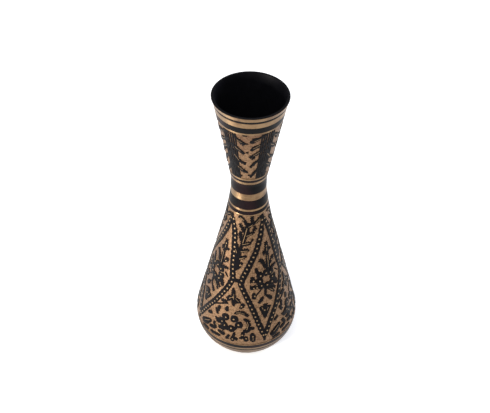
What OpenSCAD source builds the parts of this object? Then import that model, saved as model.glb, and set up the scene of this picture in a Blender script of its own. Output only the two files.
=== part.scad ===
// Engraved brass flower vase: a tall spun vase with a flared mouth, a narrow neck and a low pear-shaped
// belly. Three brass shells are soldered together. Black lac rings lie in turned grooves, and the pattern,
// which is covered with lac, stands on two fields whose ground is chased away.
// Millimetres, +Z up, origin at the centre of the foot.

/* [Outline] */
// Height of the vase
height = 200; // [170:1:240]
// Diameter at the lip, over the lac
mouth_d = 42.4; // [36:0.1:52]
// Outer diameter of the cylindrical neck
neck_d = 21; // [17:0.1:25]
// Height of the neck's lower end
neck_z = 133.5; // [125:0.5:150]
// Length of the cylindrical neck
neck_len = 9; // [8.5:0.1:14]
// Diameter at the shoulder, where the neck's slope changes to the body's cone
shoulder_d = 25.6; // [24:0.1:30]
// Height of that change of slope
shoulder_z = 116; // [110:0.5:120]
// Largest diameter of the belly
belly_d = 66.6; // [60:0.1:80]
// Height of the belly's widest ring
belly_z = 23.8; // [21:0.1:28]
// Radius of the belly's round, seen from the side
belly_round = 28; // [24:0.5:33]
// Diameter of the foot
foot_d = 45.8; // [38:0.1:52]

/* [Brass walls] */
// Thickness of the spun walls
wall = 1.2; // [1:0.05:1.5]
// Depth of the lac grooves and of the chased fields
relief = 0.3; // [0.2:0.05:0.4]
// How much wider the lip flares than the mouth's cone
lip_flare = 0.45; // [0:0.05:0.8]
// Height of that flare
lip_h = 3; // [2:0.5:4]
// Thickness of the lac coat inside the mouth
coat = 0.25; // [0.15:0.05:0.4]

/* [Joints] */
// Wall of the mouth's socket at the bottom of a lac groove
socket_wall = 0.8; // [0.6:0.05:1]
// Wall of the body's spigot, which stands up inside the socket
spigot_wall = 0.9; // [0.7:0.05:1.2]
// Length of the spigot above the seam
spigot_len = 5; // [4:0.25:6.5]
// Solder gap of both lap joints
solder_gap = 0.15; // [0.1:0.01:0.2]
// Height of the seam between belly and base
base_seam_z = 16.8; // [14:0.1:19]
// Height of the base's collar above that seam
collar_h = 4; // [3:0.25:5]
// Thickness of that collar
collar_wall = 1; // [0.8:0.05:1.2]

/* [Foot] */
// Thickness of the base's floor
floor_t = 1.4; // [1:0.1:2]
// How far the middle of the base is raised off the table
dish = 1.2; // [0.8:0.1:2]
// Width of the flat rim that the vase stands on
rim_w = 3.5; // [2.5:0.1:5]

/* [Lac rings] */
// Width of the fine line under the lip
lip_line_w = 1.5; // [0.8:0.1:2]
// Distance of that line below the lip
lip_line_drop = 2.7; // [2.5:0.1:4]
// Width of the band under the lip
mouth_band_w = 4.1; // [2.5:0.1:5]
// Distance of that band below the lip
mouth_band_drop = 7.6; // [6.5:0.1:10]
// Width of the line above the neck
neck_line_w = 2; // [1:0.1:2.5]
// Brass left between that line and the neck band
neck_line_gap = 1.8; // [1.2:0.1:3]
// Width of the band round the neck
neck_band_w = 8.1; // [6:0.1:9]
// Height of the neck band above the neck's lower end
neck_band_rise = 2.9; // [2.5:0.1:4]
// Width of the band on the shoulder
shoulder_band_w = 6.4; // [4:0.1:7]
// Distance of that band below the neck's lower end
shoulder_band_drop = 1.8; // [1.5:0.1:3]
// Width of the line under the shoulder band
shoulder_line_w = 2.5; // [1.5:0.1:3]
// Brass left between that line and the shoulder band
shoulder_line_gap = 1.3; // [1:0.1:3]
// Width of the upper line round the belly
belly_line_w = 3.2; // [2.5:0.1:4]
// Height of that line above the base seam
belly_line_rise = 2.5; // [2:0.1:3.5]
// Width of the line that hides the base seam
foot_line_w = 1.6; // [1.2:0.1:2]

/* [Pattern] */
// Diamonds round the belly
diamonds = 4; // [3:1:5]
// Width of the straps that frame the diamonds
strap_w = 4; // [3:0.1:4.5]
// Leaf panels round the mouth
panels = 5; // [4:1:6]
// Pairs of leaves in each panel
leaf_rows = 5; // [3:1:6]

/* [Hidden] */
$fn = 96;
brass = "#b98f5e";
solder = "#8f8a80";
lac = "#17161a";

rim_z = height - coat;
mouth_r = mouth_d / 2 - lip_flare;
neck_r = neck_d / 2;
neck_top_z = neck_z + neck_len;
shoulder_r = shoulder_d / 2;
belly_r = belly_d / 2;
foot_r = foot_d / 2;
arc_step = 4;

// ---- Outline of the outside, as points [radius, height] that rise from the foot to the lip ----

function unit(v) = v / norm(v);
function bearing(v) = atan2(v.y, v.x);
// Bearing, from the centre c, of the point where a line from p touches a circle of radius r
function touch(c, r, p, side) = bearing(p - c) + side * acos(r / norm(p - c));
function arc(c, r, a, b) =
    let (n = ceil(abs(b - a) / arc_step))
    [for (i = [0:n]) c + r * [cos(a + (b - a) * i / n), sin(a + (b - a) * i / n)]];
// A corner at q between p and s, rounded to radius r
function corner(p, q, s, r) =
    let (u = unit(p - q), w = unit(s - q), half = acos(u * w) / 2,
         c = q + unit(u + w) * r / sin(half),
         a = bearing(q + u * r / tan(half) - c), b = bearing(q + w * r / tan(half) - c),
         turn = b - a > 180 ? b - a - 360 : b - a < -180 ? b - a + 360 : b - a)
    arc(c, r, a, a + turn);

shoulder_round = 250;
neck_round = 14;
foot_point = [foot_r, 0];
shoulder_point = [shoulder_r, shoulder_z];
lip_base = [mouth_r - lip_h * (mouth_r - neck_r) / (rim_z - neck_top_z), rim_z - lip_h];
// The belly's round, kept small enough to end above the foot
belly_overhang = belly_r - foot_r;
largest_round = (belly_overhang ^ 2 + belly_z ^ 2) / (2 * belly_overhang);
round_r = min(belly_round, 0.96 * largest_round);
// The outside of a vase whose radius is smaller all over by t
function outline(t) =
    let (c = [belly_r - round_r, belly_z], r = round_r - t, f = foot_point - [t, 0],
         s = shoulder_point - [t, 0], n0 = [neck_r - t, neck_z], n1 = [neck_r - t, neck_top_z],
         l = lip_base - [t, 0], top = [mouth_d / 2 - t, rim_z])
    concat([f], arc(c, r, touch(c, r, f, 1), touch(c, r, s, -1)),
           corner(c + r * [1, 0], s, n0, shoulder_round),
           corner(s, n0, n1, neck_round), corner(n0, n1, l, neck_round), [l, top]);
outside = outline(0);
inside = outline(wall);
function radius_in(path, z) = lookup(z, [for (p = path) [p.y, p.x]]);
function outer_r(z) = radius_in(outside, z);
// The stretch of a path from height a to height b, moved in by d
function stretch(path, a, b, d = 0) =
    concat([[radius_in(path, a) - d, a]],
           [for (p = path) if (p.y > a + 0.01 && p.y < b - 0.01) p - [d, 0]],
           [[radius_in(path, b) - d, b]]);
function reversed(list) = [for (i = [len(list) - 1:-1:0]) list[i]];
module turned(points) { rotate_extrude() polygon(points); }

// ---- Heights of the lac rings, each as [lower edge, upper edge] ----

lip_line_z = [height - lip_line_drop - lip_line_w, height - lip_line_drop];
mouth_band_z = [height - mouth_band_drop - mouth_band_w, height - mouth_band_drop];
neck_band_z = [neck_z + neck_band_rise, neck_z + neck_band_rise + neck_band_w];
neck_line_z = [neck_band_z[1] + neck_line_gap, neck_band_z[1] + neck_line_gap + neck_line_w];
shoulder_band_z = [neck_z - shoulder_band_drop - shoulder_band_w, neck_z - shoulder_band_drop];
shoulder_line_top = shoulder_band_z[0] - shoulder_line_gap;
shoulder_line_z = [shoulder_line_top - shoulder_line_w, shoulder_line_top];
belly_line_z = [base_seam_z + belly_line_rise, base_seam_z + belly_line_rise + belly_line_w];
foot_line_z = [base_seam_z - foot_line_w / 2, base_seam_z + foot_line_w / 2];
field_edge = 1.2;
mouth_field_z = [neck_line_z[1] + field_edge, mouth_band_z[0] - field_edge];
belly_field_z = [belly_line_z[1] + field_edge / 2, shoulder_line_z[0] - field_edge / 2];

// Outer side of a shell from height a to height b, with its grooves and its chased field cut in
function grooved(a, b, cuts, i = 0) =
    i == len(cuts) ? stretch(outside, a, b)
    : concat(a < cuts[i][0] ? stretch(outside, a, cuts[i][0]) : [],
             stretch(outside, max(a, cuts[i][0]), min(b, cuts[i][1]), relief),
             cuts[i][1] < b ? grooved(cuts[i][1], b, cuts, i + 1) : []);
module lac_ring(z) {
    turned(concat(stretch(outside, z[0], z[1], relief), reversed(stretch(outside, z[0], z[1]))));
}

// ---- Brass shells ----

seam_z = neck_band_z[0] + neck_band_w / 2;
spigot_top_z = seam_z + spigot_len;
socket_r = neck_r - relief - socket_wall;
spigot_r = socket_r - solder_gap;
bore_r = spigot_r - spigot_wall;

module mouth_funnel() {
    lined = stretch(inside, spigot_top_z, rim_z);
    color(brass) turned(concat(grooved(seam_z, rim_z, [neck_band_z, neck_line_z, mouth_field_z,
                                                        mouth_band_z, lip_line_z]),
                               reversed(lined), [[socket_r, spigot_top_z], [socket_r, seam_z]]));
}
// The bore runs straight down through the neck, and opens into the body's cone below it
bore_end_z = neck_z;
bore_slope_h = 2;
module body_shell() {
    color(brass) turned(concat(grooved(base_seam_z, seam_z, [foot_line_z, belly_line_z, belly_field_z,
                                                              shoulder_line_z, shoulder_band_z,
                                                              neck_band_z]),
                               [[spigot_r, seam_z], [spigot_r, spigot_top_z], [bore_r, spigot_top_z],
                                [bore_r, bore_end_z]],
                               reversed(stretch(inside, base_seam_z, bore_end_z - bore_slope_h))));
}
collar_r = radius_in(inside, base_seam_z) - solder_gap;
solder_h = collar_h * 0.6;
floor_top = dish + floor_t;
module base_pan() {
    top = base_seam_z;
    color(brass) turned(concat([[0, dish], [foot_r - rim_w - dish, dish], [foot_r - rim_w, 0]],
                               grooved(0, top, [foot_line_z]),
                               [[collar_r, top], [collar_r, top + collar_h],
                                [collar_r - collar_wall, top + collar_h],
                                [collar_r - collar_wall, top]],
                               reversed(stretch(outline(wall + solder_gap + collar_wall / 2), floor_top,
                                                top - collar_wall)),
                               [[0, floor_top]]));
}

// ---- Solder in the two lap joints ----

module neck_solder() {
    color(solder) turned([[spigot_r, seam_z], [socket_r, seam_z], [socket_r, spigot_top_z],
                          [spigot_r, spigot_top_z]]);
}
module base_solder() {
    top = base_seam_z + solder_h;
    color(solder) turned(concat(stretch(inside, base_seam_z, top),
                                [[collar_r, top], [collar_r, base_seam_z]]));
}

// ---- Lac: the coat in the mouth and over the lip, and the rings ----

module mouth_lining() {
    inner_r = radius_in(inside, rim_z) - coat;
    color(lac) turned(concat(stretch(inside, spigot_top_z, rim_z),
                             [[mouth_d / 2, rim_z], [mouth_d / 2 - coat, height], [inner_r, height]],
                             reversed(stretch(inside, spigot_top_z, rim_z, coat))));
}
module lip_line() { color(lac) lac_ring(lip_line_z); }
module mouth_band() { color(lac) lac_ring(mouth_band_z); }
module neck_line() { color(lac) lac_ring(neck_line_z); }
module neck_band() { color(lac) lac_ring(neck_band_z); }
module shoulder_band() { color(lac) lac_ring(shoulder_band_z); }
module shoulder_line() { color(lac) lac_ring(shoulder_line_z); }
module belly_line() { color(lac) lac_ring(belly_line_z); }
module foot_line() { color(lac) lac_ring(foot_line_z); }

// ---- Lac-covered relief: every stroke is a ribbon that lies on the chased ground ----
// A point of a stroke is [bearing in degrees from the front, height].

front = -90;
function on_vase(p, depth) =
    let (r = outer_r(p.y) - depth) [r * cos(front + p.x), r * sin(front + p.x), p.y];
// Moves a point by [across, up] in millimetres
function nudge(p, v) = [p.x + v.x / outer_r(p.y + v.y) * 180 / PI, p.y + v.y];
function heading(path, i) =
    let (a = path[max(i - 1, 0)], b = path[min(i + 1, len(path) - 1)],
         r = outer_r((a.y + b.y) / 2))
    unit([(b.x - a.x) * PI / 180 * r, b.y - a.y]);
module ribbon(path, widths) {
    n = len(path);
    rows = [for (i = [0:n - 1])
        let (h = heading(path, i), side = [-h.y, h.x] * widths[i] / 2,
             l = nudge(path[i], side), r = nudge(path[i], -side))
        [on_vase(l, relief), on_vase(r, relief), on_vase(r, 0), on_vase(path[i], 0), on_vase(l, 0)]];
    k = 5;
    sides = [for (i = [0:n - 2]) for (j = [0:k - 1])
        let (a = i * k + j, b = i * k + (j + 1) % k) each [[a, b, b + k], [a, b + k, a + k]]];
    first = [for (j = [0:k - 1]) k - 1 - j];
    last = [for (j = [0:k - 1]) (n - 1) * k + j];
    polyhedron(points = [for (row = rows) each row], faces = concat(sides, [first, last]));
}
// A pointed leaf or petal from its root, with the given length, heading and droop at its tip
module leaf(root, length, turn, droop, w) {
    mid = nudge(root, length * 0.5 * [cos(turn), sin(turn)]);
    tip = nudge(mid, length * 0.5 * [cos(turn - droop), sin(turn - droop)]);
    ribbon([root, mid, tip], [w * 0.45, w, w * 0.3]);
}

// Mouth: a bundle of upright stems between the panels, and leaves that droop from them on both sides
panel_pitch = 360 / panels;
stem_bearing = panel_pitch / 2;
stem_w = 0.9;
stem_gap = 1.5;
module mouth_stems() {
    z = mouth_field_z;
    color(lac) for (i = [0:panels - 1], s = [-1:1])
        let (at = stem_bearing + i * panel_pitch)
        ribbon([for (h = [0:4]) nudge([at, z[0] + (z[1] - z[0]) * h / 4], [s * stem_gap, 0])],
               [for (h = [0:4]) stem_w]);
}
module mouth_leaves() {
    z = mouth_field_z;
    rise = (z[1] - z[0]) / (leaf_rows + 0.6);
    color(lac) for (i = [0:panels - 1], k = [1:leaf_rows], s = [-1, 1])
        let (at = stem_bearing + i * panel_pitch, h = z[0] + rise * (k + 0.3),
             reach = outer_r(h) * PI / 180 * panel_pitch / 2 - stem_gap - stem_w - 1.4)
        leaf(nudge([at, h], [s * (stem_gap + stem_w), 0]), reach, s > 0 ? -25 : 205, s * -12, 1.9);
}

// Belly: four leaning diamonds, each framed by straps from corner to corner
diamond_pitch = 360 / diamonds;
field_h = belly_field_z[1] - belly_field_z[0];
inset = strap_w * 0.55;
top_corner = [diamond_pitch * 0.5, belly_field_z[1] - inset];
right_corner = [diamond_pitch * 0.74, belly_field_z[0] + field_h * 0.51];
low_corner = [diamond_pitch * 0.25, belly_field_z[0] + inset];
left_corner = [diamond_pitch * -0.09, belly_field_z[0] + field_h * 0.49];
function turned_by(p, k) = [p.x + k * diamond_pitch, p.y];
// A strap lies straight on the cone: its bearing turns with the logarithm of the radius
function strap_path(a, b, n = 12) =
    let (ra = outer_r(a.y), rb = outer_r(b.y))
    [for (i = [0:n]) let (z = a.y + (b.y - a.y) * i / n)
        [a.x + (b.x - a.x) * ln(outer_r(z) / ra) / ln(rb / ra), z]];
module strap(a, b) {
    path = strap_path(a, b);
    ribbon(path, [for (p = path) strap_w]);
}
module lattice_straps() {
    corners = [top_corner, right_corner, low_corner, left_corner];
    color(lac) for (k = [0:diamonds - 1], i = [0:3])
        strap(turned_by(corners[i], k), turned_by(corners[(i + 1) % 4], k));
}

// Fern: a leaning stem with slanting leaves, in each triangle between two diamonds at the shoulder
fern_root = [diamond_pitch * -0.2, belly_field_z[0] + field_h * 0.64];
fern_tip = [diamond_pitch * -0.04, belly_field_z[0] + field_h * 0.9];
module fern_sprays() {
    color(lac) for (k = [0:diamonds - 1]) {
        root = turned_by(fern_root, k);
        tip = turned_by(fern_tip, k);
        ribbon([root, (root + tip) / 2, tip], [0.8, 0.8, 0.8]);
        for (i = [0:4]) let (at = root + (tip - root) * (i / 5 + 0.08)) {
            leaf(nudge(at, [0.9, 0]), 3.2 + i * 0.5, 22, -8, 1.3);
            leaf(nudge(at, [-0.9, 0.8]), 2.2 + i * 0.3, 128, 10, 1.2);
        }
        for (s = [-1, 1])
            leaf(nudge(tip, [s * 0.8, 1]), 6.5, s > 0 ? 25 : 155, s * 12, 1.6);
    }
}

// A round flower of petals about an open centre
module rosette(at, petals, r, w) {
    for (i = [0:petals - 1]) let (a = i * 360 / petals + 20)
        leaf(nudge(at, 0.45 * r * [cos(a), sin(a)]), r * 0.55, a, 0, w);
}
// A sprig of three leaves
module sprig(at, size, turn) {
    for (s = [-1:1])
        leaf(nudge(at, 0.35 * size * [cos(turn + s * 70), sin(turn + s * 70)]), size * (s == 0 ? 1 : 0.7),
             turn + s * 45, s * 10, size * 0.32);
}
diamond_centre = [diamond_pitch * 0.35, belly_field_z[0] + field_h * 0.49];
module diamond_flowers() {
    color(lac) for (k = [0:diamonds - 1]) let (c = turned_by(diamond_centre, k)) {
        rosette(c, 6, 6.5, 3);
        sprig(nudge(c, [1, 13]), 6, 90);
        sprig(nudge(c, [-3, -16]), 5, 270);
        for (s = [0:2]) leaf(nudge(c, [-7.8, 2 - 5 * s]), 4, 190 + 16 * s, 0, 1.6);
        for (s = [0:1]) leaf(nudge(c, [6, -7 - 5 * s]), 4, 310, 0, 1.6);
    }
}
low_centre = [diamond_pitch * -0.23, belly_field_z[0] + field_h * 0.165];
module belly_flowers() {
    color(lac) for (k = [0:diamonds - 1]) let (c = turned_by(low_centre, k)) {
        rosette(c, 5, 5.5, 3);
        sprig(nudge(c, [0, 15]), 5.5, 90);
        sprig(nudge(c, [11, -9]), 4.5, 70);
        sprig(nudge(c, [-11, -9]), 4.5, 110);
        sprig(nudge(c, [1, -11]), 3.5, 90);
        for (s = [-1, 1], i = [0:1])
            leaf(nudge(c, [s * (7.5 + i * 2), 2 - 4 * i]), 4, 90 + s * 50, s * 30, 1.5);
    }
}

mouth_funnel();
body_shell();
base_pan();
neck_solder();
base_solder();
mouth_lining();
lip_line();
mouth_band();
neck_line();
neck_band();
shoulder_band();
shoulder_line();
belly_line();
foot_line();
mouth_stems();
mouth_leaves();
lattice_straps();
fern_sprays();
diamond_flowers();
belly_flowers();
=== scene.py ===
"""Looks of an engraved brass flower vase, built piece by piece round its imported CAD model."""

import math

import bpy
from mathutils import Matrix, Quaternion, Vector, noise


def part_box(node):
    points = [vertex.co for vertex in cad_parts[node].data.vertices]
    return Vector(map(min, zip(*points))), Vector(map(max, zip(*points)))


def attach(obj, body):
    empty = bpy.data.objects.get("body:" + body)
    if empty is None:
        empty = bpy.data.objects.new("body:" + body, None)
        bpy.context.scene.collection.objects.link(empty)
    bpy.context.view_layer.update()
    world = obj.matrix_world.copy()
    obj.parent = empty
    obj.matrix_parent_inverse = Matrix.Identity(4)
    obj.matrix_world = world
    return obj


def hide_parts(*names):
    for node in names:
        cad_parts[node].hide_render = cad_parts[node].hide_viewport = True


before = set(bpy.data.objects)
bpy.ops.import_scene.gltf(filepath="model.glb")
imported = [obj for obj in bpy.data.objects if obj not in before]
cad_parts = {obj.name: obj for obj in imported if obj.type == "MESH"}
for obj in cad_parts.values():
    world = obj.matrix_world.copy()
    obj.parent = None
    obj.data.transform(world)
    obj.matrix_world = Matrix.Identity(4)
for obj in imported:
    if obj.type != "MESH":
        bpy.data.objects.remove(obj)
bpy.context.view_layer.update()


# ---- Camera ----
# Looks down on the vase from in front and above the mouth, and is rolled a little, so that
# the vase leans to the right.

camera_place = (-0.00198, -0.3555, 0.4683)
camera_direction = Vector((0, 0.7110, -0.7032))
camera_roll = math.radians(0.965)

bpy.ops.object.camera_add(location=camera_place)
camera = bpy.context.object
camera.name = "camera"
camera.rotation_mode = "QUATERNION"
camera.rotation_quaternion = (
    camera_direction.to_track_quat("-Z", "Y") @ Quaternion((0, 0, 1), camera_roll)
)
camera.data.lens = 61.4
camera.data.sensor_width = 36
bpy.context.scene.camera = camera


# ---- Floor and studio light ----
# A matt white table under soft light: a low key on the left in front, a weak top light, a
# cool fill on the right behind, and a pale room all round.

def linear(colour):
    """An sRGB hex colour as the linear RGBA that Blender's sockets take."""
    channels = [int(colour[i:i + 2], 16) / 255 for i in (1, 3, 5)]
    return [c / 12.92 if c < 0.04045 else ((c + 0.055) / 1.055) ** 2.4 for c in channels] + [1]


def add_node(material, kind, inputs=None, **settings):
    """Adds a node with its settings, and sets or links its inputs, by name or number."""
    added = material.node_tree.nodes.new("ShaderNode" + kind)
    for setting, value in settings.items():
        setattr(added, setting, value)
    for socket, value in (inputs or {}).items():
        if isinstance(value, bpy.types.NodeSocket):
            material.node_tree.links.new(value, added.inputs[socket])
        else:
            added.inputs[socket].default_value = value
    return added


def new_material(name):
    """A material with an empty node tree."""
    material = bpy.data.materials.new(name)
    material.use_nodes = True
    material.node_tree.nodes.clear()
    return material


def finish_material(material, inputs):
    """Ends a material with its shader."""
    shader = add_node(material, "BsdfPrincipled", inputs)
    add_node(material, "OutputMaterial", {"Surface": shader.outputs[0]})


# Painted board: matt, almost white
floor_paint = new_material("white_matt_board")
finish_material(floor_paint, {
    "Base Color": linear("#f4f4f3"),
    "Roughness": 0.9,
    "Specular IOR Level": 0.1,
    "Emission Color": linear("#ffffff"),
    "Emission Strength": 0.42,
})
bpy.ops.object.select_all(action="DESELECT")
bpy.ops.mesh.primitive_plane_add(size=60)
floor = bpy.context.object
floor.name = "floor"
floor.data.materials.append(floor_paint)


def add_softbox(name, bearing, elevation, distance, size, power, colour):
    """A soft light, (width, height), aimed at the vase's middle; bearings run from front to +X."""
    aim = Vector((0, 0, 0.1))
    away = Vector((
        math.sin(math.radians(bearing)) * math.cos(math.radians(elevation)),
        -math.cos(math.radians(bearing)) * math.cos(math.radians(elevation)),
        math.sin(math.radians(elevation)),
    ))
    bpy.ops.object.light_add(type="AREA", location=aim + away * distance)
    light = bpy.context.object
    light.name = name
    light.rotation_mode = "QUATERNION"
    light.rotation_quaternion = away.to_track_quat("Z", "Y")
    light.data.shape = "RECTANGLE"
    light.data.size, light.data.size_y = size
    light.data.energy = power
    light.data.color = linear(colour)[:3]
    light.visible_camera = False


add_softbox("key", bearing=-54, elevation=8, distance=0.9, size=(0.14, 0.24), power=13,
            colour="#fffaf4")
add_softbox("top", bearing=-30, elevation=65, distance=1.0, size=(0.5, 0.5), power=3,
            colour="#fffcf8")
add_softbox("fill", bearing=128, elevation=16, distance=1.1, size=(0.5, 0.4), power=8,
            colour="#e2e9ff")

world = bpy.data.worlds.new("studio")
bpy.context.scene.world = world
world.use_nodes = True
world.node_tree.nodes["Background"].inputs["Color"].default_value = linear("#f7f8fa")
world.node_tree.nodes["Background"].inputs["Strength"].default_value = 0.6
bpy.context.scene.view_settings.view_transform = "Standard"


# ---- Base pan ----
# The underside is a shallow brass pan, spun and then turned on the lathe. It has a dished
# floor, a flat foot rim, and a collar that stands up inside the belly and is soldered there.

# Sizes are in mm, and MM turns them into metres
MM = 0.001
WALL = 1.2
GROOVE = 0.3
SOLDER_GAP = 0.15
FOOT_RADIUS = 22.9
NECK_RADIUS = 10.5
NECK_LOW = 133.5
LIP_RADIUS = 21.2


def arc(centre, radius, start, end):
    """Points along a round, the short way from one bearing to another."""
    sweep = (end - start + math.pi) % math.tau - math.pi
    steps = max(2, math.ceil(abs(sweep) / math.radians(1.5)))
    bearings = [start + sweep * i / steps for i in range(steps + 1)]
    return [centre + Vector((math.cos(b), math.sin(b))) * radius for b in bearings]


def bearing_of(vector):
    """The angle of a vector in the drawing, from the x axis."""
    return math.atan2(vector.y, vector.x)


def rounded_corner(before, corner, after, radius):
    """Points round a corner between two straight lines."""
    to_before = (before - corner).normalized()
    to_after = (after - corner).normalized()
    half = to_before.angle(to_after) / 2
    centre = corner + (to_before + to_after).normalized() * radius / math.sin(half)
    start = corner + to_before * radius / math.tan(half) - centre
    end = corner + to_after * radius / math.tan(half) - centre
    return arc(centre, radius, bearing_of(start), bearing_of(end))


def outline(thinner=0.0):
    """The vase's side from foot to lip, as (radius, height) in mm, moved in from the outside."""
    def at(radius, height):
        return Vector((radius - thinner, height))

    foot, shoulder = at(FOOT_RADIUS, 0), at(12.8, 116)
    neck_low, neck_high = at(NECK_RADIUS, NECK_LOW), at(NECK_RADIUS, 142.5)
    lip_base, lip = at(20.213, 196.75), at(LIP_RADIUS, 199.75)
    shoulder_round, neck_round = 250, 14
    belly, belly_radius = Vector((5.3, 23.8)), 28 - thinner
    to_foot, to_shoulder = foot - belly, shoulder - belly
    low = bearing_of(to_foot) + math.acos(belly_radius / to_foot.length)
    high = bearing_of(to_shoulder) - math.acos(belly_radius / to_shoulder.length)
    cone_start = belly + Vector((belly_radius, 0))
    return (
        [foot]
        + arc(belly, belly_radius, low, high)
        + rounded_corner(cone_start, shoulder, neck_low, shoulder_round)
        + rounded_corner(shoulder, neck_low, neck_high, neck_round)
        + rounded_corner(neck_low, neck_high, lip_base, neck_round)
        + [lip_base, lip]
    )


outside = outline()
inside = outline(WALL)


def radius_on(path, height):
    """A path's radius at a height, in mm."""
    for low, high in zip(path, path[1:]):
        if low.y <= height <= high.y:
            share = (height - low.y) / max(high.y - low.y, 1e-9)
            return low.x + (high.x - low.x) * share
    return path[0].x if height < path[0].y else path[-1].x


def stretch(path, low, high, deeper=0.0):
    """The part of a path between two heights, moved in. Points too near its ends are dropped."""
    near = 0.15
    between = [(p.x, p.y) for p in path if low + near < p.y < high - near]
    ends = [(radius_on(path, low), low)], [(radius_on(path, high), high)]
    return [(r - deeper, z) for r, z in ends[0] + between + ends[1]]


def heights_of(node):
    """Lowest and highest point of a CAD node, in mm."""
    low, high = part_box(node)
    return low.z / MM, high.z / MM


def grooved(low, high, cuts):
    """The outside between two heights, with grooves and chased fields cut into it."""
    path = []
    reached = low
    for start, end in cuts:
        if reached < start:
            path += stretch(outside, reached, start)
        path += stretch(outside, max(start, low), min(end, high), GROOVE)
        reached = end
    if reached < high:
        path += stretch(outside, reached, high)
    return path


def turn_on_lathe(name, profile, edge=0.08):
    """Spins a profile of (radius, height) in mm round the vase's axis, and breaks its edges."""
    bpy.ops.object.select_all(action="DESELECT")
    bpy.ops.mesh.primitive_plane_add(size=MM)
    piece = bpy.context.object
    piece.name = name
    bpy.ops.object.mode_set(mode="EDIT")
    bpy.ops.mesh.merge(type="CENTER")
    bpy.ops.transform.translate(value=(0, -profile[0][0] * MM, profile[0][1] * MM))
    for (r0, z0), (r1, z1) in zip(profile, profile[1:]):
        step = (0, (r0 - r1) * MM, (z1 - z0) * MM)
        bpy.ops.mesh.extrude_region_move(TRANSFORM_OT_translate={"value": step})
    bpy.ops.mesh.select_all(action="SELECT")
    bpy.ops.mesh.spin(steps=144, angle=math.tau, center=(0, 0, 0), axis=(0, 0, 1))
    bpy.ops.mesh.select_all(action="SELECT")
    bpy.ops.mesh.remove_doubles(threshold=0.002 * MM)
    bpy.ops.mesh.normals_make_consistent(inside=False)
    bpy.ops.object.mode_set(mode="OBJECT")
    bpy.ops.object.modifier_add(type="BEVEL")
    bevel = piece.modifiers[-1]
    bevel.width = edge * MM
    bevel.segments = 2
    bevel.limit_method = "ANGLE"
    bevel.angle_limit = math.radians(28)
    bpy.ops.object.modifier_apply(modifier=bevel.name)
    bpy.ops.object.shade_smooth_by_angle(angle=math.radians(40))
    bpy.ops.object.modifier_add(type="WEIGHTED_NORMAL")
    piece.modifiers[-1].keep_sharp = True
    bpy.ops.object.modifier_apply(modifier=piece.modifiers[-1].name)
    return piece


# Brass, turned and polished: a satin gold with fine rings left by the tool, and brown in
# patches where it has begun to tarnish. It also darkens towards the foot, which is painted
# shade. Real tool rings are 0.1 mm apart; these are 0.4 mm, so that they show.
turned_brass = new_material("brass_turned_and_polished")
place = add_node(turned_brass, "TexCoord").outputs["Object"]
round_the_axis = add_node(
    turned_brass, "Mapping", {"Vector": place, "Scale": (30, 30, 2500)}
).outputs[0]
tool_rings = add_node(
    turned_brass, "TexNoise", {"Vector": round_the_axis, "Scale": 1.0, "Detail": 3.0}
).outputs[0]
tarnish = add_node(
    turned_brass, "TexNoise", {"Vector": place, "Scale": 140.0, "Detail": 5.0, "Roughness": 0.65}
).outputs[0]
tarnish_share = add_node(
    turned_brass, "MapRange", {"Value": tarnish, "From Min": 0.42, "From Max": 0.72}
).outputs[0]
above_table = add_node(turned_brass, "SeparateXYZ", {0: place}).outputs["Z"]
# Painted shade: the brass darkens towards the table, fully at 6 mm and below, fading out by 22 mm
foot_painted_shade = add_node(
    turned_brass, "MapRange",
    {"Value": above_table, "From Min": 6 * MM, "From Max": 22 * MM, "To Min": 1.0, "To Max": 0.0}
).outputs[0]
polished_tone = add_node(
    turned_brass, "Mix",
    {0: tarnish_share, 6: linear("#8a7154"), 7: linear("#5f4836")}, data_type="RGBA"
).outputs[2]
# Mixes in the painted shade at the foot, a dark brown
brass_tone = add_node(
    turned_brass, "Mix",
    {0: foot_painted_shade, 6: polished_tone, 7: linear("#4a392d")}, data_type="RGBA"
).outputs[2]
ring_shine = add_node(
    turned_brass, "MapRange",
    {"Value": tool_rings, "From Min": 0.3, "From Max": 0.7, "To Min": 0.3, "To Max": 0.42}
).outputs[0]
ring_relief = add_node(
    turned_brass, "Bump", {"Height": tool_rings, "Strength": 0.5, "Distance": 0.04 * MM}
).outputs[0]
finish_material(turned_brass, {
    "Base Color": brass_tone,
    "Metallic": 1.0,
    "Roughness": ring_shine,
    "Anisotropic": 0.8,
    "Anisotropic Rotation": 0.25,
    "Tangent": add_node(turned_brass, "Tangent", direction_type="RADIAL", axis="Z").outputs[0],
    "Normal": ring_relief,
})

base_low, base_high = heights_of("base_pan")
seam = heights_of("body_shell")[0]
foot_line = heights_of("foot_line")
dish = 1.2
foot_rim = 3.5
pan_wall = 1.4
rim_inner = FOOT_RADIUS - foot_rim
floor_top = dish + pan_wall
collar = radius_on(inside, seam) - SOLDER_GAP
collar_wall = 1.0
pan_inside = outline(WALL + SOLDER_GAP + collar_wall / 2)
base_pan = turn_on_lathe("base_pan_turned", [
    (0, dish),
    (rim_inner - dish, dish),
    (rim_inner, 0),
    *grooved(base_low, seam, [foot_line]),
    (collar, seam),
    (collar, base_high),
    (collar - collar_wall, base_high),
    (collar - collar_wall, seam),
    *reversed(stretch(pan_inside, floor_top, seam - collar_wall)),
    (0, floor_top),
])
base_pan.data.materials.append(turned_brass)
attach(base_pan, "root")
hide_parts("base_pan")


# ---- Solder in the lap joints ----
# Soft solder holds the base's collar in the belly, and the body's spigot in the mouth's
# socket. It has run in, and set dull and slightly grainy.

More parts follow.
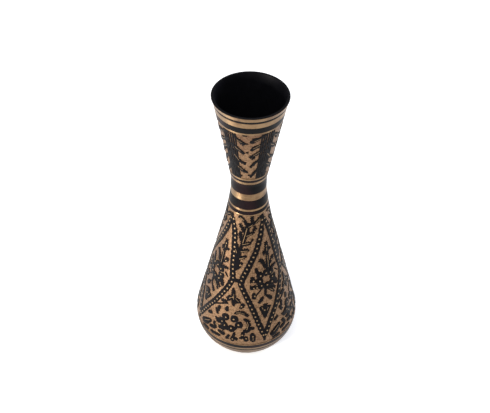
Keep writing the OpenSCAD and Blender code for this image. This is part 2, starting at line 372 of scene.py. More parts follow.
solder = new_material("soft_solder_as_set")
solder_grain = add_node(
    solder, "TexNoise",
    {"Vector": add_node(solder, "TexCoord").outputs["Object"], "Scale": 900.0, "Detail": 4.0}
).outputs[0]
finish_material(solder, {
    "Base Color": add_node(
        solder, "Mix",
        {0: solder_grain, 6: linear("#8d8f90"), 7: linear("#6c6e70")}, data_type="RGBA"
    ).outputs[2],
    "Metallic": 1.0,
    "Roughness": 0.55,
    "Normal": add_node(
        solder, "Bump", {"Height": solder_grain, "Strength": 0.5, "Distance": 0.05 * MM}
    ).outputs[0],
})
for joint in ("base_solder", "neck_solder"):
    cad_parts[joint].data.materials.clear()
    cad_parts[joint].data.materials.append(solder)


# ---- Body shell ----
# Cone and belly are one spun brass shell with a spigot at the top. Between the lac lines
# its ground is cut down with a chasing punch, which leaves the pattern standing.

# Brass, chased: the punch leaves close little pits, with painted light on their rims and painted
# shade inside them.
# Real pits are 0.2 mm across; these are 0.4 mm, so that they show.
chased_brass = new_material("brass_chased_matt")
place = add_node(chased_brass, "TexCoord").outputs["Object"]
punch_pits = add_node(
    chased_brass, "TexVoronoi", {"Vector": place, "Scale": 2600.0}, feature="F1"
).outputs["Distance"]
punch_drift = add_node(
    chased_brass, "TexNoise", {"Vector": place, "Scale": 900.0, "Detail": 5.0, "Roughness": 0.75}
).outputs[0]
pit_rims = add_node(
    chased_brass, "MapRange",
    {"Value": punch_pits, "From Min": 0.1, "From Max": 0.65, "To Max": 0.6}
).outputs[0]
ground_height = add_node(
    chased_brass, "Math", {0: punch_drift, 1: 3.2, 2: pit_rims}, operation="MULTIPLY_ADD"
).outputs[0]
# Painted light and shade: the colour goes lighter on the pits' rims and darker down in them,
# following the pit depth
pit_painted_light_and_shade = add_node(
    chased_brass, "MapRange", {"Value": ground_height, "From Min": 1.45, "From Max": 2.35}
).outputs[0]
dull_patches = add_node(
    chased_brass, "TexNoise", {"Vector": place, "Scale": 90.0, "Detail": 3.0}
).outputs[0]
bright_tone = add_node(
    chased_brass, "Mix",
    {0: dull_patches, 6: linear("#98795b"), 7: linear("#7d624b")}, data_type="RGBA"
).outputs[2]
# The dark brown here is the painted shade inside the pits; the rims take the brass tone
chased_tone = add_node(
    chased_brass, "Mix",
    {0: pit_painted_light_and_shade, 6: linear("#4a3829"), 7: bright_tone}, data_type="RGBA"
).outputs[2]
red_tarnish = add_node(
    chased_brass, "TexNoise", {"Vector": place, "Scale": 26.0, "Detail": 4.0}
).outputs[0]
red_share = add_node(
    chased_brass, "MapRange",
    {"Value": red_tarnish, "From Min": 0.54, "From Max": 0.76, "To Max": 0.8}
).outputs[0]
ground_tone = add_node(
    chased_brass, "Mix",
    {0: red_share, 6: chased_tone, 7: linear("#4f342e")}, data_type="RGBA"
).outputs[2]
finish_material(chased_brass, {
    "Base Color": ground_tone,
    "Metallic": 1.0,
    "Roughness": add_node(
        chased_brass, "MapRange",
        {"Value": pit_painted_light_and_shade, "To Min": 0.62, "To Max": 0.42}
    ).outputs[0],
    "Normal": add_node(
        chased_brass, "Bump", {"Height": ground_height, "Strength": 0.5, "Distance": 0.08 * MM}
    ).outputs[0],
})


def chase_field(piece, low, high):
    """Gives the chased finish to a field between two heights on the outside of a shell."""
    slack = 0.02
    deepest = GROOVE * 1.4
    piece.data.materials.append(turned_brass)
    piece.data.materials.append(chased_brass)
    bpy.ops.object.mode_set(mode="EDIT")
    bpy.ops.mesh.select_mode(type="FACE")
    bpy.ops.mesh.select_all(action="DESELECT")
    bpy.ops.object.mode_set(mode="OBJECT")
    for face in piece.data.polygons:
        r = math.hypot(face.center.x, face.center.y) / MM
        z = face.center.z / MM
        in_field = low - slack < z < high + slack
        face.select = in_field and r > radius_on(outside, z) - deepest
    bpy.ops.object.mode_set(mode="EDIT")
    piece.active_material_index = 1
    bpy.ops.object.material_slot_assign()
    bpy.ops.mesh.select_mode(type="VERT")
    bpy.ops.object.mode_set(mode="OBJECT")


belly_line = heights_of("belly_line")
shoulder_line = heights_of("shoulder_line")
shoulder_band = heights_of("shoulder_band")
neck_band = heights_of("neck_band")
belly_border = 0.6
belly_field = (belly_line[1] + belly_border, shoulder_line[0] - belly_border)
neck_seam, spigot_top = heights_of("neck_solder")
socket = 9.4
spigot = socket - SOLDER_GAP
spigot_wall = 0.9
bore = spigot - spigot_wall
bore_slope = 2.0
body_profile = [
    *grooved(seam, neck_seam, [
        foot_line, belly_line, belly_field, shoulder_line, shoulder_band, neck_band,
    ]),
    (spigot, neck_seam),
    (spigot, spigot_top),
    (bore, spigot_top),
    (bore, NECK_LOW),
    *reversed(stretch(inside, seam, NECK_LOW - bore_slope)),
]
body_shell = turn_on_lathe("body_shell_spun", body_profile + body_profile[:1])
chase_field(body_shell, *belly_field)
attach(body_shell, "root")
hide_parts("body_shell")


# ---- Mouth funnel ----
# The flared mouth is a second spun shell. Its socket takes the body's spigot, and its
# outside has a chased field between two turned bands.

neck_line = heights_of("neck_line")
mouth_band = heights_of("mouth_band")
lip_line = heights_of("lip_line")
mouth_border = 1.2
mouth_field = (neck_line[1] + mouth_border, mouth_band[0] - mouth_border)
lip_top = heights_of("mouth_funnel")[1]
funnel_profile = [
    *grooved(neck_seam, lip_top, [neck_band, neck_line, mouth_field, mouth_band, lip_line]),
    *reversed(stretch(inside, spigot_top, lip_top)),
    (socket, spigot_top),
    (socket, neck_seam),
]
mouth_funnel = turn_on_lathe("mouth_funnel_spun", funnel_profile + funnel_profile[:1])
chase_field(mouth_funnel, *mouth_field)
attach(mouth_funnel, "root")
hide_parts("mouth_funnel")


# ---- Lac rings ----
# Sticks of black lac are held against the turning vase, melt into its grooves, and are
# skimmed flush with the brass and rubbed bright.

# Lac, skimmed and rubbed: deep black, dark red where it was rubbed thin, and with a soft
# shine that wavers
rubbed_lac = new_material("black_lac_rubbed")
place = add_node(rubbed_lac, "TexCoord").outputs["Object"]
along_the_band = add_node(
    rubbed_lac, "Mapping", {"Vector": place, "Scale": (200, 200, 1500)}
).outputs[0]
rubbing = add_node(
    rubbed_lac, "TexNoise", {"Vector": along_the_band, "Scale": 1.0, "Detail": 4.0}
).outputs[0]
wear = add_node(
    rubbed_lac, "TexNoise", {"Vector": place, "Scale": 40.0, "Detail": 3.0}
).outputs[0]
thin_lac = add_node(
    rubbed_lac, "MapRange", {"Value": wear, "From Min": 0.5, "From Max": 0.72}
).outputs[0]
finish_material(rubbed_lac, {
    "Base Color": add_node(
        rubbed_lac, "Mix",
        {0: thin_lac, 6: linear("#070709"), 7: linear("#1e0f12")}, data_type="RGBA"
    ).outputs[2],
    "Roughness": add_node(
        rubbed_lac, "MapRange",
        {"Value": rubbing, "From Min": 0.3, "From Max": 0.7, "To Min": 0.28, "To Max": 0.45}
    ).outputs[0],
    "Specular IOR Level": 0.05,
    "Normal": add_node(
        rubbed_lac, "Bump", {"Height": rubbing, "Strength": 0.3, "Distance": 0.03 * MM}
    ).outputs[0],
})
for ring in ("foot_line", "belly_line", "shoulder_line", "shoulder_band",
             "neck_band", "neck_line", "mouth_band", "lip_line"):
    low, high = heights_of(ring)
    seat = stretch(outside, low, high, GROOVE)
    face = stretch(outside, low, high)
    lac_ring = turn_on_lathe(ring + "_lac", seat + face[::-1] + seat[:1], edge=0.05)
    lac_ring.data.materials.append(rubbed_lac)
    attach(lac_ring, "root")
    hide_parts(ring)


# ---- Lac coat in the mouth ----
# The mouth's inside is painted with melted lac, which runs over the lip and ends there
# with a soft edge.

# Lac, brushed on hot: black, slightly uneven and less shiny than the rings
brushed_lac = new_material("black_lac_brushed")
place = add_node(brushed_lac, "TexCoord").outputs["Object"]
brush_marks = add_node(
    brushed_lac, "TexNoise", {"Vector": place, "Scale": 260.0, "Detail": 4.0}
).outputs[0]
finish_material(brushed_lac, {
    "Base Color": add_node(
        brushed_lac, "Mix",
        {0: brush_marks, 6: linear("#09090c"), 7: linear("#101014")}, data_type="RGBA"
    ).outputs[2],
    "Roughness": add_node(
        brushed_lac, "MapRange", {"Value": brush_marks, "To Min": 0.35, "To Max": 0.6}
    ).outputs[0],
    "Specular IOR Level": 0.06,
    "Normal": add_node(
        brushed_lac, "Bump", {"Height": brush_marks, "Strength": 0.4, "Distance": 0.06 * MM}
    ).outputs[0],
})
coat = 0.25
coat_top = heights_of("mouth_lining")[1]
lining_profile = [
    *stretch(inside, spigot_top, lip_top),
    (LIP_RADIUS, lip_top),
    (LIP_RADIUS - coat, coat_top),
    (radius_on(inside, lip_top) - coat, coat_top),
    *reversed(stretch(inside, spigot_top, lip_top, coat)),
]
mouth_lining = turn_on_lathe("mouth_lining_lac", lining_profile + lining_profile[:1])
mouth_lining.data.materials.append(brushed_lac)
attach(mouth_lining, "root")
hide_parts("mouth_lining")


# ---- Lattice straps ----
# Straps left standing on the ground frame four leaning diamonds. They are covered with
# black lac, and a row of dots is punched through it down to the bright brass.

def widths_along(widths, count):
    """A stroke's widths, spread evenly over its points."""
    spread = []
    for i in range(count):
        place = i / max(count - 1, 1) * (len(widths) - 1)
        k = min(int(place), len(widths) - 1)
        following = widths[min(k + 1, len(widths) - 1)]
        spread.append(widths[k] + (following - widths[k]) * (place - k))
    return spread


# Lac heaps up over the relief, so a stroke comes out wider than it was drawn
lac_swell = 1.35


def draw_strokes(name, strokes, roundness=4):
    """Draws strokes flat, in mm, x across and y up. Each is (widths, point, point, ...), and
    two more points round each of its ends."""
    near, far = 0.3, 0.45
    near_width, far_width = 0.8, 0.25
    bpy.ops.object.select_all(action="DESELECT")
    bpy.ops.curve.primitive_nurbs_path_add()
    drawing = bpy.context.object
    drawing.name = name
    drawing.data.splines.clear()
    drawing.data.bevel_depth = 1
    drawing.data.bevel_resolution = roundness
    drawing.data.use_fill_caps = True
    drawing.data.twist_mode = "Z_UP"
    for widths, *points in strokes:
        points = [Vector(point) for point in points]
        spread = widths_along(widths, len(points))
        first = (points[0] - points[1]).normalized() * spread[0]
        last = (points[-1] - points[-2]).normalized() * spread[-1]
        points = [points[0] + first * far, points[0] + first * near, *points,
                  points[-1] + last * near, points[-1] + last * far]
        spread = [spread[0] * far_width, spread[0] * near_width, *spread,
                  spread[-1] * near_width, spread[-1] * far_width]
        longest = max((b - a).length for a, b in zip(points, points[1:]))
        spline = drawing.data.splines.new("NURBS")
        spline.points.add(len(points) - 1)
        for control, point, width in zip(spline.points, points, spread):
            control.co = (point.x, point.y, 0, 1)
            control.radius = width / 2 * lac_swell
        spline.order_u = 3
        spline.use_endpoint_u = True
        spline.resolution_u = max(2, min(12, round(longest / 0.45)))
    bpy.ops.object.convert(target="MESH")
    bpy.ops.object.mode_set(mode="EDIT")
    bpy.ops.mesh.select_all(action="SELECT")
    bpy.ops.mesh.remove_doubles(threshold=0.002)
    bpy.ops.object.mode_set(mode="OBJECT")
    return bpy.context.object


# The same seed lets the hand wander the same way each time
noise.seed_set(7)


def lay_on_vase(piece, bearing, height, low, high, ragged=0.16):
    """Bends a flat drawing round the vase. Its underside goes `low` and its top `high` mm
    outside the vase's outline, and its edges wander a little, as cut by hand."""
    slow, quick, quick_share = 0.9, 2.7, 0.6
    edge_round = 0.16
    for vertex in piece.data.vertices:
        across, up, lift = vertex.co
        spot = Vector((across + bearing, height + up, 0))
        drift = noise.noise_vector(spot * slow) * ragged
        tremble = noise.noise_vector(spot * quick) * ragged * quick_share
        wander = drift + tremble
        z = height + up + wander.y
        r = radius_on(outside, z)
        angle = math.radians(bearing) + (across + wander.x) / r
        rise = (1 - math.exp(-lift / edge_round)) if lift > 0 else 0
        r += low + (high - low) * rise
        vertex.co = (r * math.sin(angle) * MM, -r * math.cos(angle) * MM, z * MM)


def punch_dots(name, spots, size):
    """Small raised dots on a flat drawing, at spots in mm."""
    bpy.ops.object.select_all(action="DESELECT")
    start = (spots[0][0], spots[0][1], 0)
    bpy.ops.mesh.primitive_uv_sphere_add(segments=8, ring_count=6, radius=size / 2, location=start)
    dots = bpy.context.object
    dots.name = name
    bpy.ops.object.transform_apply(location=True, rotation=False, scale=False)
    bpy.ops.object.mode_set(mode="EDIT")
    for (x0, y0), (x1, y1) in zip(spots, spots[1:]):
        bpy.ops.mesh.duplicate_move(TRANSFORM_OT_translate={"value": (x1 - x0, y1 - y0, 0)})
    bpy.ops.object.mode_set(mode="OBJECT")
    return dots


def copy_round(flat, count, bearing, height, low, high, material, node, ragged=0.16):
    """Lays copies of a flat drawing round the vase, each with its own mesh."""
    pitch = 360 / count
    for i in range(count):
        bpy.ops.object.select_all(action="DESELECT")
        bpy.context.view_layer.objects.active = flat
        flat.select_set(True)
        bpy.ops.object.duplicate()
        piece = bpy.context.object
        piece.name = f"{flat.name}_{i + 1}"
        lay_on_vase(piece, bearing + i * pitch, height, low, high, ragged)
        piece.data.materials.append(material)
        bpy.ops.object.shade_smooth_by_angle(angle=math.radians(50))
        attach(piece, "root")
        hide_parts(node)
    bpy.data.objects.remove(flat)


def spaced(points, pitch):
    """Spots along a line of points, a pitch apart."""
    spots = []
    left = pitch / 2
    for a, b in zip(points, points[1:]):
        step = Vector(b) - Vector(a)
        while left < step.length:
            spots.append(tuple(Vector(a) + step * (left / step.length)))
            left += pitch
        left -= step.length
    return spots


# Lac over relief: black, satin, and uneven where it pooled and was worn thin by rubbing
relief_lac = new_material("black_lac_on_relief")
place = add_node(relief_lac, "TexCoord").outputs["Object"]
pooling = add_node(
    relief_lac, "TexNoise", {"Vector": place, "Scale": 700.0, "Detail": 4.0, "Roughness": 0.6}
).outputs[0]
finish_material(relief_lac, {
    "Base Color": add_node(
        relief_lac, "Mix",
        {0: pooling, 6: linear("#040406"), 7: linear("#0d0a0c")}, data_type="RGBA"
    ).outputs[2],
    "Roughness": add_node(
        relief_lac, "MapRange",
        {"Value": pooling, "From Min": 0.3, "From Max": 0.7, "To Min": 0.3, "To Max": 0.55}
    ).outputs[0],
    "Specular IOR Level": 0.05,
    "Normal": add_node(
        relief_lac, "Bump", {"Height": pooling, "Strength": 0.5, "Distance": 0.05 * MM}
    ).outputs[0],
})

# Brass, freshly cut: brighter than the ground, with a broken shine
cut_brass = new_material("brass_bright_cut")
place = add_node(cut_brass, "TexCoord").outputs["Object"]
tool_chatter = add_node(
    cut_brass, "TexNoise", {"Vector": place, "Scale": 1800.0, "Detail": 3.0}
).outputs[0]
finish_material(cut_brass, {
    "Base Color": add_node(
        cut_brass, "Mix",
        {0: tool_chatter, 6: linear("#9c8260"), 7: linear("#745b42")}, data_type="RGBA"
    ).outputs[2],
    "Metallic": 1.0,
    "Roughness": add_node(
        cut_brass, "MapRange", {"Value": tool_chatter, "To Min": 0.25, "To Max": 0.5}
    ).outputs[0],
    "Normal": add_node(
        cut_brass, "Bump", {"Height": tool_chatter, "Strength": 0.5, "Distance": 0.05 * MM}
    ).outputs[0],
})

def beaded(points, pitch, widths):
    """A strap that swells round each dot, and is slim at its top: spots half a pitch apart."""
    top_share, growth = 0.55, 0.09
    spots = spaced(points, pitch / 2)
    return (
        [widths[i % 2] * min(1, top_share + growth * i) for i in range(len(spots))], *spots
    )


# How far the lac and the cuts through it reach, from the vase's outline
seated = -GROOVE - 0.06
lac_top = 0.03
cut_low = -0.03
cut_top = 0.09
belly_repeats = 4
diamond_bearing, diamond_height = 31, 71
dot_pitch, dot_size, dot_shift = 3.25, 1.25, 0.35
between_dots, round_dots = 2.7, 3.4
strap_left = [(2.6, 46.5), (0.5, 36), (-3.5, 25), (-9, 15), (-14.5, 5), (-16.5, 0), (-14, -8),
              (-12, -15), (-10, -22), (-8, -31), (-5.5, -41)]
strap_right = [(3.2, 46.5), (7, 36), (9.5, 24), (11.5, 12), (14, 3), (12.5, -4), (9, -13),
               (5.5, -21), (2, -27), (-1, -33), (-5, -41)]
straps = draw_strokes("lattice_strap", [
    beaded(strap_left, dot_pitch, (between_dots, round_dots)),
    beaded(strap_right, dot_pitch, (between_dots, round_dots)),
    ((2.2,), (13.5, 3), (17.5, 2.4)),
    ((1.6, 0.9), (2.9, 45), (2.8, 48.4)),
    ((2.4, 1.2), (-5.2, -41), (-5.6, -45.2)),
])
copy_round(straps, belly_repeats, diamond_bearing, diamond_height, seated, lac_top,
           relief_lac, "lattice_straps", ragged=0.3)
strap_spots = [(x - dot_shift, y) for x, y in spaced(strap_left, dot_pitch)]
strap_spots += [(x + dot_shift, y) for x, y in spaced(strap_right, dot_pitch)]
strap_dots = punch_dots("strap_dots", strap_spots, dot_size)
copy_round(strap_dots, belly_repeats, diamond_bearing, diamond_height, cut_low, cut_top,
           cut_brass, "lattice_straps")


# ---- Diamond flowers ----
# A flower with leaves fills each diamond: petals round an open centre, a stem with a
# three-lobed top, side sprigs, and a bud in the lower corner.

def nicked(strokes, least=0.45, slimming=0.78):
    """Strokes with small lobes along both sides, as a chaser nicks the edge of a leaf."""
    pitch = 1.3
    too_slim = 1.2
    lobes = []
    for widths, *points in strokes:
        spots = spaced(points, pitch) if max(widths) > too_slim else []
        for i, (spot, width) in enumerate(zip(spots, widths_along(widths, len(spots)))):
            spot = Vector(spot)
            along = Vector(spots[min(i + 1, len(spots) - 1)]) - Vector(spots[max(i - 1, 0)])
            along = along.normalized() if along.length else Vector((0, 1))
            across = Vector((-along.y, along.x))
            for side in (-1, 1):
                reach = least + 0.5 * noise.noise(Vector((spot.x * 1.7, spot.y * 1.7, side * 9)))
                root = spot + across * side * width * 0.2
                tip = spot + across * side * (width * 0.42 + reach) + along * 0.55
                lobes.append(((0.9, 0.6), tuple(root), tuple(tip)))
    slimmer = [([width * slimming for width in widths], *points) for widths, *points in strokes]
    return slimmer + lobes


def rosette(centre, petals, width):
    """Petals that stand round a centre, as short strokes away from it."""
    strokes = []
    for petal in petals:
        away = (Vector(petal) - Vector(centre)).normalized()
        start = Vector(petal) - away * width * 0.15
        end = Vector(petal) + away * width * 0.2
        strokes.append(((width * 0.8, width), tuple(start), tuple(end)))
    return strokes


flower_dot = 1.1
vein = (0.3,)
diamond_petals = [(-3.9, 1.8), (-3.3, -1.7), (-3.1, 5.8), (0.8, 6.3), (4.0, 5.4), (5.2, 1.5),
                  (4.4, -2.0), (0.6, -2.6)]
diamond_flower = draw_strokes("diamond_flower", rosette((0.4, 1.8), diamond_petals, 4.3) + nicked([
    ((1.6,), (-4.6, 4.6), (-5, 1), (-4.6, -1)),
    ((1.6,), (-3, -2.8), (0.6, -2.6), (4.5, -3.4)),
    ((1.8, 2.4), (7, -1), (8.2, -5)),
    ((0.9,), (8, 5.4), (10.4, 3)),
    ((3.2, 2.6, 1.4, 1.6), (2.6, 9), (2.9, 13), (3, 17), (3.2, 21)),
    ((1.8, 2.6, 1.2), (3.2, 20.5), (3.3, 24), (3.2, 28)),
    ((2.2, 1.4), (3, 22), (0.2, 21.5)),
    ((1.8, 1), (3.5, 22.4), (6.3, 22.2)),
    ((1,), (1, 20.6), (0.4, 19.8)),
    ((1.8, 1.6, 2), (0.7, 10.5), (-0.2, 14), (-1.4, 16.4), (-2.3, 17)),
    ((1.5, 1), (-5.2, 8), (-5.6, 11.6)),
    ((1.6, 1), (5, 8.6), (9.3, 9)),
    ((1.4, 2.2), (5, 12), (7.3, 15.6)),
    ((1.6, 2), (-5, 2.5), (-9.7, 2.8)),
    ((2,), (-8.3, 4.2), (-8.7, 5.2)),
    ((2.4,), (-4, -2.2), (-10, -2.2)),
    ((1.2,), (-7, -0.9), (-7.6, -0.4)),
    ((0.9,), (-3.5, -4.3), (-7.8, -8.8)),
    ((2.2, 1.4), (-8.8, -7), (-9, -10.6)),
    ((1.4, 1), (-0.8, -3.5), (-1.2, -9.8)),
    ((1, 2, 1.2), (-3, -10.6), (-4.6, -12.6), (-6.2, -14.6)),
    ((0.8, 2), (-1, -10), (2.6, -14)),
    ((2.8, 1.6, 0.6), (1, -4), (3, -7), (5.2, -10)),
    ((1.4, 0.7), (3, -4.5), (6.5, -7.5)),
    ((1.0, 2.8), (-3.4, -27), (-5, -18.5)),
    ((1.0, 2.6), (-3.4, -27), (-2.4, -17.3)),
    ((1.0, 2.2), (-3.4, -27), (0.2, -19.3)),
], slimming=0.86), roundness=3)
copy_round(diamond_flower, belly_repeats, diamond_bearing, diamond_height, seated, lac_top,
           relief_lac, "diamond_flowers", ragged=0.24)
diamond_dots = punch_dots("diamond_flower_dots", diamond_petals + [
    (3.1, 25.5), (-8, 2.8), (-8.4, -2.5), (-6.3, -2.5), (-8.5, -8.6), (-3.2, -21), (6.2, 13.6),
], flower_dot)
copy_round(diamond_dots, belly_repeats, diamond_bearing, diamond_height, cut_low, cut_top,
           cut_brass, "diamond_flowers")
diamond_veins = draw_strokes("diamond_flower_veins", [
    (vein, (2.8, 10), (3, 14), (2.7, 19)),
    (vein, (3, 22), (3.1, 24)),
    (vein, (-4.2, -20), (-4.7, -18)),
    (vein, (-1.4, -21.5), (-0.4, -19.6)),
    (vein, (2, -6.2), (4.2, -8.8)),
    (vein, (4.6, 3.4), (7.2, 4.2)),
    (vein, (-1.6, 8), (-2.4, 9.6)),
    (vein, (-5.8, -0.8), (-7.2, -0.6)),
], roundness=1)
copy_round(diamond_veins, belly_repeats, diamond_bearing, diamond_height, cut_low, cut_top,
           cut_brass, "diamond_flowers")


# ---- Belly flowers ----
# A second, wider flower with scrolling leaves fills each triangle between two diamonds,
# low on the belly.

belly_bearing, belly_height = -21, 46
belly_petals = [(-2.7, -2.7), (2.8, -2.5), (6.1, -6.2), (1.6, -10), (-3, -9.2), (-5, -7)]
belly_flower = draw_strokes("belly_flower", rosette((-0.4, -6.3), belly_petals, 4.6) + nicked([
    ((1.6,), (-4.2, -4.4), (-5, -6)),
    ((1.6,), (-1, -10.6), (0.4, -10.8)),
    ((1.8,), (4.8, -8.6), (3.4, -10)),
    ((1.4,), (6.4, -7.6), (8.2, -8)),
    ((0.7, 2.6, 3, 1.2), (0.3, 21.5), (0.8, 16.5), (1.2, 12.5), (1.6, 8)),
    ((2.4,), (-1.4, 14.2), (-2.4, 11.6)),
    ((3, 2.4), (3, 13.2), (4.2, 11.6)),
    ((0.8,), (4, 12), (5.8, 11)),
    ((1, 2.4), (5.6, 7.2), (7, 7.6), (7.6, 10)),
    ((1, 1.8, 1.2), (2.8, 2), (6, 4.1), (9, 3.4), (11.5, 1.2)),
    ((1.8, 1.4), (9.6, -1.4), (12, -3), (13, -6), (12.6, -9.5)),
    ((1.6,), (13.6, -8.8), (16.3, -8.6)),
    ((2.8, 2), (10.6, -11), (13.6, -10)),
    ((2.2, 1.6), (9.6, -12.4), (9.8, -14.6)),
    ((1.3,), (8, -16.6), (11, -16)),
    ((2.4, 3.4, 2.6), (15.8, -13.4), (16.4, -16.4), (17, -19)),
    ((2.6, 2), (11.8, -16.2), (12.4, -18.6)),
    ((1.3, 1), (4.2, -13), (3.5, -17.4)),
    ((2.4, 1.6), (3.2, -17.4), (3.3, -20)),
    ((2, 1.4), (5.4, -17.4), (6.2, -18.8)),
    ((1.1, 0.8), (-12.5, 3), (-9, 5), (-5, 7.4), (-2.4, 8.4)),
    ((2.2, 1.2), (-6.6, 9), (-3.4, 9.6)),
    ((1.8,), (-2.4, 5.4), (-2.6, 2.6)),
    ((1.6, 1), (-7.8, 3.4), (-9, -0.6)),
    ((1, 1.4), (-17.4, -7.4), (-14, -5.6)),
    ((1.2, 1.8), (-10.4, -6.6), (-7.2, -8.8)),
    ((2.2, 1.6), (-11, -11.2), (-9.4, -14.6)),
    ((1.8, 2), (-7.4, -12.2), (-3.4, -12.6)),
    ((1.6, 1), (-2.4, -11.8), (-0.6, -12)),
    ((3.6, 4, 1.6), (-21.5, -17.4), (-18, -15.4), (-14, -12)),
    ((2.2, 1.6), (-14, -16.2), (-10, -15)),
    ((1.8, 2.2), (-7, -15.8), (-3, -16.4)),
    ((2, 1.6), (-13, -20), (-6, -19.4)),
    ((2.4, 1.4), (-16.4, -20.4), (-21, -21)),
    ((1.4, 1), (-10.6, 0.4), (-9.2, -3)),
    ((1.3,), (-9, -9.2), (-8, -6.4)),
    ((1.4, 1), (-1, -19.6), (0.6, -16)),
], slimming=0.92), roundness=3)
copy_round(belly_flower, belly_repeats, belly_bearing, belly_height, seated, lac_top,
           relief_lac, "belly_flowers", ragged=0.24)
belly_dots = punch_dots("belly_flower_dots", belly_petals + [
    (0.6, 14.6), (6.8, 8.6), (12.2, -16.6), (16.4, -15.2), (9.5, -14), (3.3, -18.4),
], flower_dot)
copy_round(belly_dots, belly_repeats, belly_bearing, belly_height, cut_low, cut_top,
           cut_brass, "belly_flowers")
belly_veins = draw_strokes("belly_flower_veins", [
    (vein, (0.9, 17), (1.2, 13)),
    (vein, (2.4, 14.2), (4.6, 12)),
    (vein, (-0.2, 14.2), (-1.8, 12.8)),
    (vein, (4, 3.2), (6.4, 3.9), (9, 3)),
    (vein, (11.6, -3.4), (12.6, -6.2), (11.8, -9.4)),
    (vein, (-20, -15.8), (-15.4, -12.9)),
    (vein, (-9.6, -11.5), (-7.6, -12.3)),
    (vein, (-8.6, -16.5), (-6, -17.5)),
    (vein, (16.5, -16), (16.9, -18.4)),
], roundness=1)
copy_round(belly_veins, belly_repeats, belly_bearing, belly_height, cut_low, cut_top,
           cut_brass, "belly_flowers")


# ---- Fern sprays ----
# A fern with leaves on both sides of its stem rises in each upper triangle, between two
# diamonds, and spreads two wings at its top.

fern_bearing, fern_height = -3, 95
fern_vein = (0.35,)
fern = draw_strokes("fern_spray", nicked([
    ((1.2, 1.3, 1.4, 2.4, 2.8),
     (-4.8, -13), (-4.4, -5), (-3.5, 2), (-1.4, 9), (-0.2, 14), (0.8, 19)),
    ((1.6, 1), (-4.6, -11.6), (-3.4, -11)),
    ((1.8, 1.2), (-4.8, -9), (-1.8, -8.2)),
    ((1.4, 1.8, 1), (-4.8, -4.6), (-2.2, -4), (0.4, -2.9)),
    ((1.3, 1.6, 1.5), (-4, 0.2), (-1, 1.2), (1.6, 1.6)),
    ((1.4, 1.8, 1.8), (-2.8, 4.6), (0.2, 5.8), (2.6, 6.8)),
    ((1.1,), (3, 7.6), (4, 9)),
    ((1.6, 1.7, 1.2), (0, 12.1), (2.6, 13.1), (4.4, 14)),
    ((1.3,), (3.8, 15.4), (5.6, 16.4)),
    ((1,), (4.2, 17.6), (5.2, 18)),
    ((2.6, 2.2), (0.8, 18.8), (3.8, 20)),
    ((1.2, 1.6, 1.6, 1.2), (3.6, 20), (6, 20.8), (7.4, 22.4), (9.6, 23.8)),
    ((1.3, 1), (3, 21.4), (3.2, 25)),
    ((1.6, 1.6, 1.2), (0, 19), (-1.4, 22), (-2.6, 24)),
    ((1.4,), (-5.2, 24), (-3.2, 24.8)),
    ((1.2, 1.6, 1.1), (-1.4, 13.6), (-2.6, 16.6), (-4.2, 19.4)),
    ((1.3, 1.6, 1), (-2.8, 7.4), (-3.6, 10.6), (-3.8, 14)),
    ((0.8,), (-7, 11.4), (-4, 12.2)),
    ((2.4, 2.6, 1.8), (-6.3, -13.5), (-6.3, -4), (-5.8, 4.4)),
    ((1.6, 1.2), (-6.4, 4.6), (-9, 3.8)),
]), roundness=3)
copy_round(fern, belly_repeats, fern_bearing, fern_height, seated, lac_top, relief_lac,
           "fern_sprays", ragged=0.24)
fern_veins = draw_strokes("fern_veins", [
    (fern_vein, (-3.8, -5.2), (-1, -3.6)),
    (fern_vein, (-3, 0.2), (0.8, 1.2)),
    (fern_vein, (-2.2, 5.4), (1.8, 6.8)),
    (fern_vein, (0, 11.6), (3.2, 13.2)),
    (fern_vein, (1.2, 18), (3.4, 19.5)),
    (fern_vein, (-3.6, -10), (-3, -9)),
    (fern_vein, (-2.2, 6.5), (-0.9, 12), (0.2, 17)),
    (fern_vein, (5.5, 20.6), (8, 22.8)),
    (fern_vein, (-1.8, 22.5), (-4, 24)),
    (fern_vein, (-5.8, -1.4), (-6.6, 1)),
], roundness=1)
copy_round(fern_veins, belly_repeats, fern_bearing, fern_height, cut_low, cut_top,
           cut_brass, "fern_sprays")


# ---- Mouth stems and leaves ----
# Five bundles of upright stems part the mouth into panels, and in each panel long leaves
# droop from both sides to its middle.

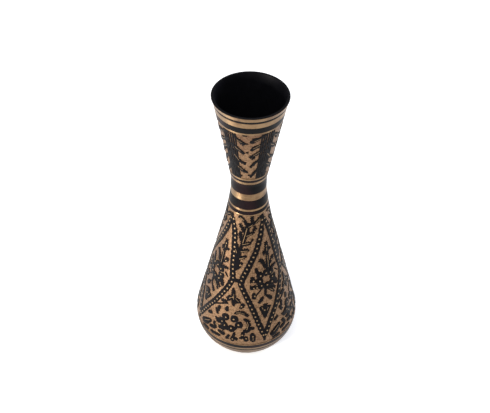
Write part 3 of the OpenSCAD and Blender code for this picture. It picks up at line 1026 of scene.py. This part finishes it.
mouth_panels = 5
mouth_bearing, mouth_height = -2, 168
stems_bearing = mouth_bearing + 180 / mouth_panels
stems = draw_strokes("mouth_stems", [
    ((0.78, 0.88, 0.8), (x * 0.78, -18.2), (x * 0.85, -6), (x, 6), (x * 1.08, 18.6))
    for x in (-3.6, -2.2, -0.8, 0.7, 2.1, 3.5)
])
copy_round(stems, mouth_panels, stems_bearing, mouth_height, seated, lac_top, relief_lac,
           "mouth_stems", ragged=0.12)
mouth_leaves = draw_strokes("mouth_leaves", nicked([
    ((1, 1.1, 2.4, 2.2), (-9, 17.6), (-6.8, 15.2), (-4, 12.9), (-2.6, 11.6)),
    ((2, 2.1, 2.1, 1.5), (-10, 9.4), (-7, 7.8), (-4.4, 5.4), (-2.6, 3.8)),
    ((1.6, 1.2, 1.5, 1.8), (-9.8, 5), (-8, 0.8), (-5, -3), (-1.9, -4.8)),
    ((1.4, 1.2, 2, 2.4, 1.2),
     (-9.4, -4.4), (-6.4, -7.6), (-3.8, -10.2), (-2.2, -11.6), (-0.4, -12.2)),
    ((1, 1, 1.3), (-9.2, -10.6), (-6.4, -13.8), (-4.4, -16.6)),
    ((0.9,), (-3.2, 18.6), (-1, 18.2)),
    ((0.9,), (-1.4, 12), (-0.4, 11.8)),
    ((0.9,), (-1.2, 4.8), (-0.4, 4.6)),
    ((1.6, 1.4, 2.4, 2.4), (9.6, 17.8), (6.2, 16), (3.4, 14.6), (1.6, 13.4)),
    ((0.8,), (4.6, 16.4), (2, 16)),
    ((1.6, 1.3, 2.2, 2), (10, 13.2), (6.6, 10.2), (3.6, 8.8), (1.6, 7)),
    ((1.8, 1.3, 2, 1.6), (9.2, 8.4), (5.8, 4.6), (3.2, 2.4), (1, 0.8)),
    ((1,), (3.4, 0.6), (2, -0.8)),
    ((1.8, 1.2, 1.6, 1.2), (8.6, 1.2), (5.8, -2.2), (3.2, -4.2), (1.3, -7.6)),
    ((1.6, 1.2, 1.5, 0.9), (7.4, -6.4), (5.8, -9.2), (3.2, -13), (1.2, -16.4)),
    ((0.9,), (-0.2, -14.8), (0.6, -15)),
], least=0.2, slimming=0.84), roundness=3)
copy_round(mouth_leaves, mouth_panels, mouth_bearing, mouth_height, seated, lac_top,
           relief_lac, "mouth_leaves", ragged=0.22)
mouth_veins = draw_strokes("mouth_leaf_veins", [
    (vein, (-6.4, 14.2), (-3.6, 12.9)),
    (vein, (-7.6, 8.2), (-4.6, 5.7)),
    (vein, (-8, 1.2), (-5.4, -2.4)),
    (vein, (-6, -8), (-3.2, -10.3)),
    (vein, (6.6, 15.7), (3, 14.1)),
    (vein, (6, 10.5), (2.6, 8.3)),
    (vein, (6, 4.8), (2.6, 2.4)),
], roundness=1)
copy_round(mouth_veins, mouth_panels, mouth_bearing, mouth_height, cut_low, cut_top,
           cut_brass, "mouth_leaves")
